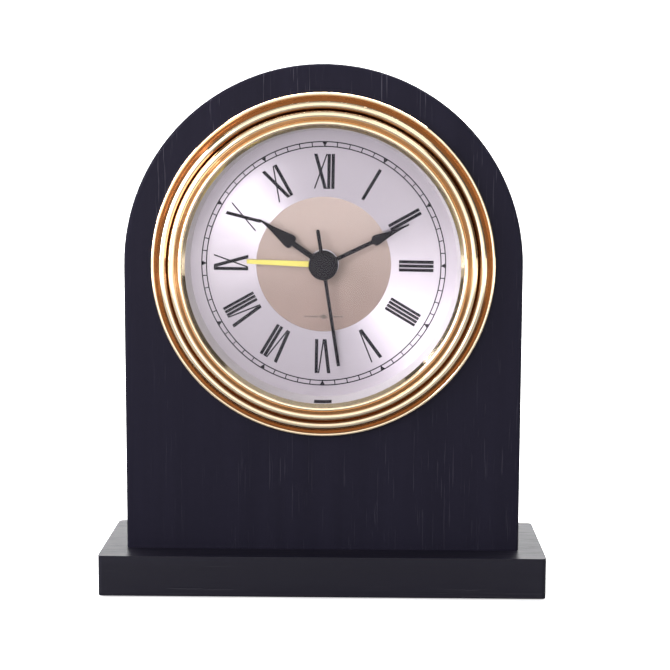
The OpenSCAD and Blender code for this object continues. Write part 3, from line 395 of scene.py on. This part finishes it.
# One material for each slot name of the CAD model.
MATERIALS = {
    "case_wood": stained_wood(
        "black_veneer_upright", "Z", (0.0118, 0.0107, 0.0190), (0.085, 0.080, 0.100), 0.06),
    "plinth_wood": stained_wood(
        "black_veneer_across", "X", (0.0085, 0.0077, 0.0135), (0.045, 0.042, 0.055), 0.3),
    "dowel_wood": raw_wood("beech", (0.55, 0.38, 0.2)),
    "zinc_steel": metal("zinc_plate", (0.68, 0.66, 0.58), 0.32),
    "felt": felt("black_felt", (0.02, 0.02, 0.024)),
    "gold": gold_plate("polished_gold"),
    "lens_glass": clear_lens("clear_lens"),
    "rubber": plastic("black_rubber", (0.03, 0.03, 0.034), 0.7),
    "spacer": plastic(
        "silver_white_wall", (0.60, 0.565, 0.55), 0.38, depth=0.004, spread=0.05, Metallic=0.35),
    "dial_metal": metal("dial_aluminium", (0.74, 0.70, 0.79), 0.35),
    "cup_plastic": plastic("moulded_black", (0.03, 0.03, 0.033), 0.42),
    "cover_plastic": plastic("textured_black", (0.028, 0.028, 0.031), 0.5, 0.35, 0.03),
    "frame_plastic": plastic("natural_acetal", (0.72, 0.71, 0.64), 0.4),
    "brass": metal("turned_brass", (0.80, 0.57, 0.24), 0.22),
    "stator_steel": metal("stamped_steel", (0.45, 0.46, 0.49), 0.38, (2400.0, 900.0, 120.0)),
    "copper": wound_wire("enamelled_winding"),
    "board": circuit("solder_mask"),
    "epoxy": plastic("epoxy_blob", (0.012, 0.012, 0.013), 0.2, 0.6, 0.03),
    "crystal_can": metal("plated_can", (0.78, 0.78, 0.8), 0.16),
    "lead_red": plastic("lead_sleeve", (0.45, 0.02, 0.02), 0.45),
    "spring_metal": metal("spring_bronze", (0.78, 0.58, 0.28), 0.25, (1800.0, 1800.0, 90.0)),
    "nickel": metal("nickel_plate", (0.70, 0.69, 0.66), 0.18),
    "cell": cell_sleeve("cell_sleeve"),
    "magnet": metal("sintered_magnet", (0.22, 0.22, 0.24), 0.5, depth=0.01, spread=0.2),
    "wheel_plastic": plastic("wheel_acetal", (0.78, 0.74, 0.60), 0.38, 0.4, 0.006),
    "hand_black": plastic(
        "hand_enamel", (0.010, 0.008, 0.011), 0.42, 0.15, 0.004, Specular_IOR_Level=0.08),
    "hand_yellow": plastic("alarm_hand_enamel", (0.66, 0.56, 0.11), 0.4, 0.15, 0.004),
    "knob_plastic": plastic("knob_black", (0.035, 0.035, 0.038), 0.36, 0.3, 0.01),
}
INK = plastic(
    "dial_ink", (0.010, 0.008, 0.012), 0.6, 0.12, 0.003, Specular_IOR_Level=0.15)
BROWN_INK = plastic("ornament_ink", (0.11, 0.08, 0.065), 0.55, 0.12, 0.003)
MARK_PAINT = plastic("rear_mark_paint", (0.55, 0.55, 0.55), 0.5, 0.15, 0.004)

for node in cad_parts.values():
    for material_slot in node.material_slots:
        slot_name = material_slot.material.name.split(".")[0]
        material_slot.material = MATERIALS[slot_name]


# ------------------------------------------------------------ drawing tools
def new_piece(name, bm, material, origin=(0, 0, 0)):
    """Turns a bmesh in world metres into a piece that rides on the case."""
    bmesh.ops.recalc_face_normals(bm, faces=bm.faces)
    bm.transform(Matrix.Translation(-Vector(origin)))
    mesh = bpy.data.meshes.new(name)
    bm.to_mesh(mesh)
    bm.free()
    mesh.materials.append(material)
    piece = bpy.data.objects.new(name, mesh)
    piece.location = origin
    scene.collection.objects.link(piece)
    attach(piece, "case")
    return piece


def dial_point(u, v, height):
    """A point on the dial: u right, v up, height toward the viewer, all in mm."""
    return Vector((u * MM, FACE_Y - height * MM, AXIS_Z + v * MM))


def rear_point(u, v, height):
    """A point on the rear cover: u is world X, v is world Z, both in mm."""
    return Vector((u * MM, REAR_Y + height * MM, v * MM))


def prism(bm, outline, low, high, place=dial_point):
    """A closed plate with the given outline, between two heights."""
    base = [bm.verts.new(place(u, v, low)) for u, v in outline]
    top = [bm.verts.new(place(u, v, high)) for u, v in outline]
    bm.faces.new(base)
    bm.faces.new(reversed(top))
    for i in range(len(outline)):
        j = (i + 1) % len(outline)
        bm.faces.new((base[i], base[j], top[j], top[i]))


def annulus(bm, inner, outer, low, high, steps=288):
    """A closed flat ring on the dial."""
    rings = []
    for radius, height in ((inner, low), (outer, low), (outer, high), (inner, high)):
        ring = []
        for i in range(steps):
            a = math.tau * i / steps
            place = dial_point(radius * math.sin(a), radius * math.cos(a), height)
            ring.append(bm.verts.new(place))
        rings.append(ring)
    for k in range(4):
        first, second = rings[k], rings[(k + 1) % 4]
        for i in range(steps):
            j = (i + 1) % steps
            bm.faces.new((first[i], first[j], second[j], second[i]))


def polar(a, r, angle):
    """Turns (a across, r outward) at a clock angle in degrees into (u, v)."""
    t = math.radians(angle)
    return (r * math.sin(t) + a * math.cos(t), r * math.cos(t) - a * math.sin(t))


# ------------------------------------------------- dial finish and its print
# Heights above the dial, in mm.
FINISH_LOW, RING_HIGH, DISC_HIGH = 0.005, 0.025, 0.02
PRINT_LOW, PRINT_HIGH = 0.03, 0.055
# Radii on the dial, in mm.
RING_R, DISC_R, DISC_HOLE_R, RING_GAP = 37.2, 17.87, 4.0, 0.01
TRACK_OUTER, TRACK_INNER, TRACK_LINE = 32.28, 31.05, 0.29
NUMERAL_LOW, NUMERAL_HIGH = 19.95, 29.1
# The print sits a little clockwise of the clock's own upright, in degrees.
DIAL_TURN, NUMERAL_TURN = 0.45, 0.8
DIAL_CENTRE = (0.0, FACE_Y, AXIS_Z)


def dial_finish():
    """The spun silver ring and the champagne disc inside it."""
    bm = bmesh.new()
    annulus(bm, DISC_R + RING_GAP, RING_R, FINISH_LOW, RING_HIGH)
    new_piece("dial_spun_ring", bm, spun_dial("spun_dial"), DIAL_CENTRE)
    bm = bmesh.new()
    annulus(bm, DISC_HOLE_R, DISC_R, FINISH_LOW, DISC_HIGH, steps=160)
    new_piece("dial_centre_disc", bm, champagne("champagne_disc"), DIAL_CENTRE)


MINUTE_HALF, ARROW_HALF, ARROW_REACH, MARK_DROP = 0.13, 0.68, 0.1, 0.005


def minute_track():
    """Two circles with a line at each minute and an arrowhead at each hour."""
    bm = bmesh.new()
    for radius in (TRACK_OUTER, TRACK_INNER):
        annulus(bm, radius - TRACK_LINE / 2, radius + TRACK_LINE / 2, PRINT_LOW, PRINT_HIGH)
    line = ((-MINUTE_HALF, TRACK_INNER), (MINUTE_HALF, TRACK_INNER),
            (MINUTE_HALF, TRACK_OUTER), (-MINUTE_HALF, TRACK_OUTER))
    arrow = ((0, TRACK_INNER - ARROW_REACH), (ARROW_HALF, TRACK_OUTER), (-ARROW_HALF, TRACK_OUTER))
    for minute in range(60):
        angle = minute * 6 + DIAL_TURN
        corners = line if minute % 5 else arrow
        outline = [polar(a, r, angle) for a, r in corners]
        prism(bm, outline, PRINT_LOW, PRINT_HIGH - MARK_DROP)
    new_piece("dial_minute_track", bm, INK)


# Stroke widths and the space an I takes, in mm.
THICK, THIN, PITCH = 0.86, 0.38, 1.08
# Each glyph: strokes as (foot, head, width) and the space it takes across.
GLYPHS = {
    "I": (((0.0, 0.0, THICK),), PITCH),
    "V": (((-0.12, -1.30, THICK + 0.06), (0.22, 1.42, THIN)), 3.0),
    "X": (((1.20, -1.45, THICK + 0.06), (-1.66, 1.52, THIN)), 3.1),
}
NUMERALS = ("XII", "I", "II", "III", "IIII", "V", "VI", "VII", "VIII", "IX", "X", "XI")
CROWDED, CROWDED_SCALE = ("IIII", "VIII"), 0.9
# Strokes that cross lie at slightly different heights, so no two faces coincide.
STROKE_STEP = 0.0015


def numerals():
    """Twelve Roman numerals just outside the champagne disc, which read outward."""
    bm = bmesh.new()
    for hour, letters in enumerate(NUMERALS):
        angle = hour * 30 + NUMERAL_TURN
        narrow = CROWDED_SCALE if letters in CROWDED else 1.0
        scales = [narrow if letter == "I" else 1.0 for letter in letters]
        spans = [GLYPHS[letter][1] * scale for letter, scale in zip(letters, scales)]
        at = -sum(spans) / 2
        top = PRINT_HIGH
        for letter, scale, span in zip(letters, scales, spans):
            centre = at + span / 2
            for foot, head, width in GLYPHS[letter][0]:
                top -= STROKE_STEP
                low_a, high_a, half = centre + foot, centre + head, width * scale / 2
                corners = ((low_a - half, NUMERAL_LOW), (low_a + half, NUMERAL_LOW),
                           (high_a + half, NUMERAL_HIGH), (high_a - half, NUMERAL_HIGH))
                prism(bm, [polar(a, r, angle) for a, r in corners], PRINT_LOW, top)
            at += span
    new_piece("dial_numerals", bm, INK)


# The ornament under the hands, in mm: height on the dial, diamond, bars and dots.
ORNAMENT_V = -13.9
DIAMOND_HALF_U, DIAMOND_HALF_V = 1.1, 0.75
BAR_NEAR, BAR_FAR, BAR_NEAR_HALF, BAR_FAR_HALF = 1.5, 4.4, 0.24, 0.09
DOT_AT, DOT_R, DOT_SIDES = 4.85, 0.3, 16


def ornament():
    """A small printed ornament where the dial had lettering."""
    bm = bmesh.new()
    prism(bm, [(DIAMOND_HALF_U, ORNAMENT_V), (0, ORNAMENT_V + DIAMOND_HALF_V),
               (-DIAMOND_HALF_U, ORNAMENT_V), (0, ORNAMENT_V - DIAMOND_HALF_V)],
          PRINT_LOW, PRINT_HIGH)
    for side in (-1, 1):
        near, far, dot = side * BAR_NEAR, side * BAR_FAR, side * DOT_AT
        prism(bm, [(near, ORNAMENT_V + BAR_NEAR_HALF), (far, ORNAMENT_V + BAR_FAR_HALF),
                   (far, ORNAMENT_V - BAR_FAR_HALF), (near, ORNAMENT_V - BAR_NEAR_HALF)],
              PRINT_LOW, PRINT_HIGH)
        turns = [t * math.tau / DOT_SIDES for t in range(DOT_SIDES)]
        prism(bm, [(dot + DOT_R * math.cos(a), ORNAMENT_V + DOT_R * math.sin(a)) for a in turns],
              PRINT_LOW, PRINT_HIGH)
    new_piece("dial_ornament", bm, BROWN_INK)


# The sloping wall between dial and lens, in mm.
WALL_BACK_R, WALL_FRONT_R = 35.3, 36.3
WALL_DEPTH = (FACE_Y - WALL_FRONT_Y) / MM
# The painted shade piece on it, for a shaded gap: half its spread in degrees, shares of the wall's
# depth, and lifts in mm.
GAP_SHADE_SPREAD, GAP_SHADE_STEPS = 3.7, 12
GAP_SHADE_BACK, GAP_SHADE_FRONT, GAP_SHADE_UNDER, GAP_SHADE_OVER = 0.50, 0.86, 0.005, 0.05


def wall_point(angle, share, lift):
    """A point on the wall: clock angle, share of its depth from the dial, and lift."""
    r = WALL_BACK_R + (WALL_FRONT_R - WALL_BACK_R) * share - lift
    u, v = polar(0, r, angle)
    return dial_point(u, v, share * WALL_DEPTH)


def wall_gap_shade():
    """A dark piece of painted shade, for a shaded gap in the wall under six o'clock, laid on the
    wall's slope.
    """
    bm = bmesh.new()
    angles = [180 - GAP_SHADE_SPREAD + 2 * GAP_SHADE_SPREAD * i / GAP_SHADE_STEPS for i in range(GAP_SHADE_STEPS + 1)]
    loops = []
    for share, lift in ((GAP_SHADE_BACK, GAP_SHADE_UNDER), (GAP_SHADE_FRONT, GAP_SHADE_UNDER),
                        (GAP_SHADE_FRONT, GAP_SHADE_OVER), (GAP_SHADE_BACK, GAP_SHADE_OVER)):
        loops.append([bm.verts.new(wall_point(a, share, lift)) for a in angles])
    for k in range(4):
        first, second = loops[k], loops[(k + 1) % 4]
        for i in range(GAP_SHADE_STEPS):
            bm.faces.new((first[i], first[i + 1], second[i + 1], second[i]))
    bm.faces.new([loop[0] for loop in loops])
    bm.faces.new([loop[-1] for loop in reversed(loops)])
    # Painted shade: dark ink where the wall shows a shaded gap.
    new_piece("wall_gap_shade", bm, INK)


# Turning arrows: gap around the knob, half width and height in mm, sweep in degrees.
ARROW_GAP, ARROW_LINE_HALF, ARROW_HEAD_HALF, ARROW_HEAD_TURN = 1.3, 0.22, 0.75, 13
ARROW_START, ARROW_END, ARROW_STEPS = 205, 320, 24
PAINT_LOW, ARC_HIGH, HEAD_HIGH = 0.005, 0.05, 0.045


def rear_turn_arrows():
    """A curved arrow around each setting knob."""
    def around(radius, a):
        return (cu + radius * math.cos(a), cv + radius * math.sin(a))

    sweep = ARROW_END - ARROW_START
    turns = [math.radians(ARROW_START + sweep * i / ARROW_STEPS) for i in range(ARROW_STEPS + 1)]
    tip, foot = math.radians(ARROW_END + ARROW_HEAD_TURN), math.radians(ARROW_END)
    bm = bmesh.new()
    for knob in ("time_set_knob", "alarm_set_knob"):
        lo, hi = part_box(knob)
        cu, cv = (lo.x + hi.x) / 2 / MM, (lo.z + hi.z) / 2 / MM
        r = (hi.x - lo.x) / 2 / MM + ARROW_GAP
        outer = [around(r + ARROW_LINE_HALF, a) for a in turns]
        inner = [around(r - ARROW_LINE_HALF, a) for a in turns]
        prism(bm, outer + inner[::-1], PAINT_LOW, ARC_HIGH, rear_point)
        head = [around(r, tip), around(r + ARROW_HEAD_HALF, foot),
                around(r - ARROW_HEAD_HALF, foot)]
        prism(bm, head, PAINT_LOW, HEAD_HIGH, rear_point)
    new_piece("rear_turn_arrows", bm, MARK_PAINT)


dial_finish()
minute_track()
numerals()
ornament()
wall_gap_shade()
rear_turn_arrows()

# -------------------------------------------------------------------- stage
# The sweep, in metres: half width, front edge, where it bends up, bend radius and top.
SWEEP_HALF, SWEEP_FRONT, SWEEP_BEND_Y, SWEEP_BEND_R, SWEEP_TOP = 4.5, -4.0, 1.6, 0.9, 3.6
SWEEP_STEPS = 16
# Reflections see the paper dim near the clock and bright from the second distance on.
DIM_TO, BRIGHT_FROM = 0.30, 0.65


def stage_sweep():
    """A pale floor that curves up into a backdrop."""
    bm = bmesh.new()
    profile = [(SWEEP_FRONT, 0.0), (SWEEP_BEND_Y, 0.0)]
    for i in range(1, SWEEP_STEPS + 1):
        a = math.radians(90 * i / SWEEP_STEPS)
        profile.append((SWEEP_BEND_Y + SWEEP_BEND_R * math.sin(a),
                        SWEEP_BEND_R - SWEEP_BEND_R * math.cos(a)))
    profile.append((SWEEP_BEND_Y + SWEEP_BEND_R, SWEEP_TOP))
    left, right = ([bm.verts.new((x, y, z)) for y, z in profile] for x in (-SWEEP_HALF, SWEEP_HALF))
    for i in range(len(profile) - 1):
        bm.faces.new((left[i], right[i], right[i + 1], left[i + 1]))
    mesh = bpy.data.meshes.new("stage_floor")
    bm.to_mesh(mesh)
    bm.free()
    mesh.polygons.foreach_set("use_smooth", [True] * len(mesh.polygons))
    m = Mat("stage_paper", (0.93, 0.93, 0.93), 0.85)
    m.set("Emission Color", (1.0, 1.0, 1.0, 1.0))
    m.set("Emission Strength", 0.62)
    dim = m.add("ShaderNodeBsdfDiffuse")
    dim.inputs["Color"].default_value = (0.28, 0.28, 0.29, 1.0)
    far = m.range(m.length(m.axis("X"), m.axis("Y")), DIM_TO, BRIGHT_FROM)
    seen = m.add("ShaderNodeLightPath").outputs["Is Camera Ray"]
    m.blend(m.math("MAXIMUM", seen, far), dim.outputs[0], m.shader.outputs["BSDF"], m.surface)
    mesh.materials.append(m.mat)
    floor = bpy.data.objects.new("stage_floor", mesh)
    scene.collection.objects.link(floor)


AIM = (0, 0, AXIS_Z)
# Name, place, target, size in metres, power in watts and colour.
SOFTBOXES = (
    ("key_left", (-0.37, -0.80, 0.285), AIM, (0.24, 0.34), 2.0, (0.96, 0.95, 1.0)),
    ("side_left", (-0.60, -0.28, 0.30), AIM, (0.25, 0.5), 3.6, (0.90, 0.88, 1.0)),
    ("top_front", (0.05, -0.22, 1.0), AIM, (1.7, 0.9), 2.2, (1, 1, 1)),
    ("right_fill", (0.50, -0.45, 0.80), AIM, (0.25, 0.5), 0.4, (1, 1, 1)),
    ("low_front", (-0.05, -0.60, 0.05), AIM, (0.8, 0.09), 0.08, (1, 1, 1)),
    ("backdrop_wash", (0, 0.5, 1.9), (0, 1.8, 0.2), (2.6, 1.0), 85.0, (1, 1, 1)),
)


def softbox(name, place, target, size, power, colour):
    light = bpy.data.lights.new(name, "AREA")
    light.shape = "RECTANGLE"
    light.size, light.size_y = size
    light.energy = power
    light.color = colour
    lamp = bpy.data.objects.new(name, light)
    lamp.location = place
    aim = Vector(target) - Vector(place)
    lamp.rotation_euler = aim.to_track_quat("-Z", "Y").to_euler()
    scene.collection.objects.link(lamp)


# The tent is light where a direction's Y is below the first value and dark past the second.
TENT_EDGE, TENT_FULL, TENT_LIGHT, TENT_DARK = -0.80, -0.38, 1.45, 0.16
# Flags at both sides take light away along an axis tilted this far from upright.
FLAG_ANGLE, FLAG_FROM, FLAG_TO, FLAG_LEFT = math.radians(76), 0.15, 0.75, 0.8


def studio_world():
    """A soft tent in front of the clock, dark to the sides, and plain white to the camera."""
    world = bpy.data.worlds.new("studio")
    scene.world = world
    world.use_nodes = True
    t = Tree(world.node_tree)
    tent = world.node_tree.nodes["Background"]
    tent.inputs["Color"].default_value = (0.97, 0.965, 1.0, 1.0)
    direction = t.add("ShaderNodeTexCoord").outputs["Generated"]
    axes = t.add("ShaderNodeSeparateXYZ")
    t.link(direction, axes.inputs[0])
    across = t.add("ShaderNodeVectorMath", operation="DOT_PRODUCT")
    t.link(direction, across.inputs[0])
    across.inputs[1].default_value = (math.sin(FLAG_ANGLE), 0.0, math.cos(FLAG_ANGLE))
    side = t.math("ABSOLUTE", across.outputs["Value"])
    fade = t.range(axes.outputs["Y"], TENT_EDGE, TENT_FULL, TENT_LIGHT, TENT_DARK)
    flag = t.range(side, FLAG_FROM, FLAG_TO, 1.0, FLAG_LEFT)
    t.link(t.math("MULTIPLY", fade, flag), tent.inputs["Strength"])
    white = t.add("ShaderNodeBackground")
    white.inputs["Color"].default_value = (1.0, 1.0, 1.0, 1.0)
    seen = t.add("ShaderNodeLightPath").outputs["Is Camera Ray"]
    surface = world.node_tree.nodes["World Output"].inputs["Surface"]
    t.blend(seen, tent.outputs[0], white.outputs[0], surface)


stage_sweep()
for item in SOFTBOXES:
    softbox(*item)
studio_world()
scene.view_settings.view_transform = "Standard"

# ------------------------------------------------------------------- camera
# Fitted to the photograph's outlines. The place is in mm, with Y from the case's front face.
FOCAL_PX, FRAME_PX, SENSOR = 1600.0, 670.0, 36.0
CAM_X, CAM_Y, CAM_Z = 9.5, -416.82, 121.08
PITCH_DOWN, YAW, ROLL = (math.radians(d) for d in (7.134, -0.870, 0.205))


def photo_camera():
    camera = bpy.data.cameras.new("camera")
    camera.lens = FOCAL_PX / FRAME_PX * SENSOR
    camera.sensor_width = SENSOR
    camera.clip_start, camera.clip_end = 0.01, 30.0
    rig = bpy.data.objects.new("camera", camera)
    scene.collection.objects.link(rig)
    forward = Vector((math.sin(YAW) * math.cos(PITCH_DOWN),
                      math.cos(YAW) * math.cos(PITCH_DOWN), -math.sin(PITCH_DOWN)))
    level = Vector((math.cos(YAW), -math.sin(YAW), 0))
    right = level * math.cos(ROLL) + level.cross(forward) * math.sin(ROLL)
    turn = Matrix((right, right.cross(forward), -forward)).transposed().to_4x4()
    place = Vector((CAM_X * MM, FRONT_Y + CAM_Y * MM, CAM_Z * MM))
    rig.matrix_world = Matrix.Translation(place) @ turn
    scene.camera = rig


photo_camera()

bpy.context.view_layer.update()
